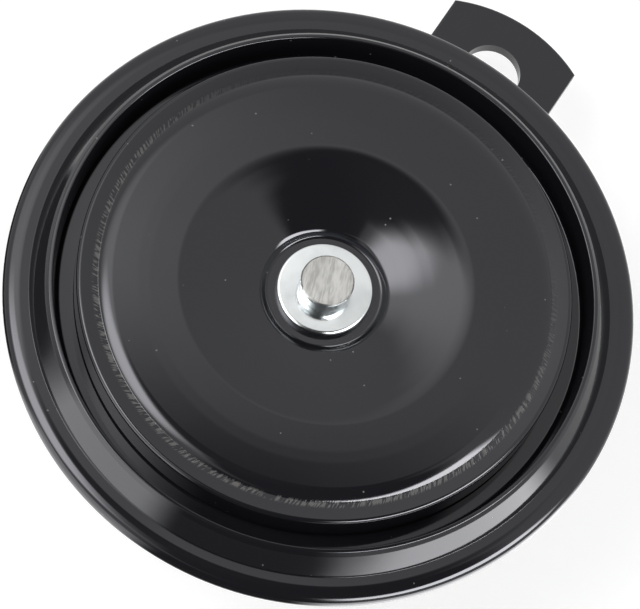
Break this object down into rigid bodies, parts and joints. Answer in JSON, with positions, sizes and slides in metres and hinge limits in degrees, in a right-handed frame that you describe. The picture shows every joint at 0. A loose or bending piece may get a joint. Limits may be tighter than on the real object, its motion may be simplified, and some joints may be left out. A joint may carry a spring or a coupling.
{
  "type": "car horn",
  "caption": "Electric disc horn: black pressed-steel tone disc and hemmed ring on a stepped housing, with a strip bracket and blade terminals.",
  "frame": {"origin": "centre of the bracket's bolt hole, at half the strip's thickness", "axes": "+Z parallel to the horn's axis, out of the tone disc; +Y along the bracket, from the horn's axis to the bolt hole; +X across the bracket, towards the breaker and adjusting screw"},
  "size_m": [0.105, 0.1252, 0.0461],
  "materials": {
    "black_paint": "gloss",
    "zinc_plate": "satin",
    "spring_steel": "satin",
    "rivet_steel": "satin",
    "gasket_paper": "matte",
    "bobbin_nylon": "matte",
    "phenolic_board": "satin",
    "enamelled_copper": "gloss",
    "contact_brass": "satin",
    "contact_metal": "satin"
  },
  "bodies": {
    "horn_body": {"housing": "black_paint", "front_ring": "black_paint", "mounting_bracket": "black_paint", "rear_gasket": "gasket_paper", "front_gasket": "gasket_paper", "diaphragm": "spring_steel", "pole_core": "zinc_plate", "coil_bobbin": "bobbin_nylon", "coil_winding": "enamelled_copper", "spring_washer": "zinc_plate", "rear_nut": "zinc_plate", "stack_base": "phenolic_board", "middle_insulator": "phenolic_board", "clamp_insulator": "phenolic_board", "contact_leaf": "spring_steel", "fixed_contact_blade": "contact_brass", "stack_rivet_left": "rivet_steel", "stack_rivet_right": "rivet_steel", "adjuster_bush": "zinc_plate", "terminal_plate": "phenolic_board", "terminal_insulator": "phenolic_board", "terminal_blade_left": "contact_brass", "terminal_blade_right": "contact_brass", "terminal_rivet_left": "contact_brass", "terminal_rivet_right": "contact_brass", "coil_start_lead": "enamelled_copper", "coil_finish_lead": "enamelled_copper", "breaker_lead": "enamelled_copper"},
    "vibrator": {"armature": "zinc_plate", "spacer_collar": "zinc_plate", "tone_disc": "black_paint", "front_washer": "zinc_plate"},
    "breaker": {"breaker_arm": "contact_brass", "moving_contact": "contact_metal", "striker_pad": "phenolic_board"},
    "adjuster": {"adjusting_screw": "zinc_plate", "adjuster_tip": "bobbin_nylon"}
  },
  "joints": [
    {"name": "vibrator_slide", "type": "slide", "parent": "horn_body", "child": "vibrator", "axis": [0, 0, 1], "range_m": [-0.0007, 0.0004], "stiffness_N_per_m": 200000, "deforming": ["diaphragm"]},
    {"name": "breaker_hinge", "type": "hinge", "parent": "horn_body", "child": "breaker", "pos_m": [0.0303, -0.0613, 0.0141], "axis": [0, 1, 0], "range_deg": [-4.9, 2.8], "stiffness_Nm_per_rad": 0.05, "deforming": ["contact_leaf", "fixed_contact_blade"]},
    {"name": "adjuster_turn", "type": "hinge", "parent": "horn_body", "child": "adjuster", "pos_m": [0.0317, -0.0524, 0.0055], "axis": [0, 0, 1], "range_deg": [-180, 180]}
  ],
  "couplings": [
    {"joint": "breaker_hinge", "follows": "vibrator_slide", "rad_per_m": 119.05}
  ]
}
